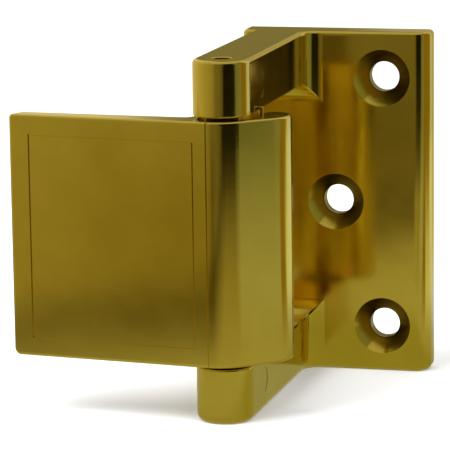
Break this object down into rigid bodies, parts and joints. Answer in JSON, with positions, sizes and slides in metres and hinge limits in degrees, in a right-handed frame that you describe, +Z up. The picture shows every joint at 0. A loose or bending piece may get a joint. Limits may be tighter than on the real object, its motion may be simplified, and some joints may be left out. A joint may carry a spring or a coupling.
{
  "type": "door guard",
  "caption": "Flip-over door guard: a mounting plate with two arms that carry a swinging leaf on a vertical pin; the leaf lies across a closed door.",
  "frame": {"origin": "centre of the middle screw hole, on the plate's mounting face", "axes": "+Z up along the hinge pin, +Y out of the mounting face into the wall, the leaf lies towards -X when it guards the door"},
  "size_m": [0.0705, 0.0549, 0.0672],
  "materials": {
    "polished_brass": "polished, lacquered",
    "satin_brass": "fine satin, lacquered",
    "pin_steel": "ground steel",
    "spring_steel": "bright hardened steel",
    "bearing_nylon": "dark moulded nylon"
  },
  "bodies": {
    "base": {"base_casting": "polished_brass", "hinge_pin": "pin_steel"},
    "leaf": {"latch_leaf": "satin_brass", "upper_bushing": "bearing_nylon", "lower_bushing": "bearing_nylon", "upper_thrust_washer": "bearing_nylon", "lower_thrust_washer": "bearing_nylon", "upper_stop_pin": "pin_steel", "lower_stop_pin": "pin_steel", "upper_detent_spring": "spring_steel", "lower_detent_spring": "spring_steel"},
    "upper_ball": {"upper_detent_ball": "spring_steel"},
    "lower_ball": {"lower_detent_ball": "spring_steel"}
  },
  "joints": [
    {"name": "leaf_swing", "type": "hinge", "parent": "base", "child": "leaf", "pos_m": [-0.0119, -0.04827, 0], "axis": [0, 0, 1], "range_deg": [-270, 0]},
    {"name": "upper_detent", "type": "slide", "parent": "leaf", "child": "upper_ball", "axis": [0, 0, 1], "range_m": [0, 0.00035], "stiffness_N_per_m": 3000, "springref_m": 0.0013, "deforming": ["upper_detent_spring"]},
    {"name": "lower_detent", "type": "slide", "parent": "leaf", "child": "lower_ball", "axis": [0, 0, -1], "range_m": [0, 0.00035], "stiffness_N_per_m": 3000, "springref_m": 0.0013, "deforming": ["lower_detent_spring"]}
  ]
}
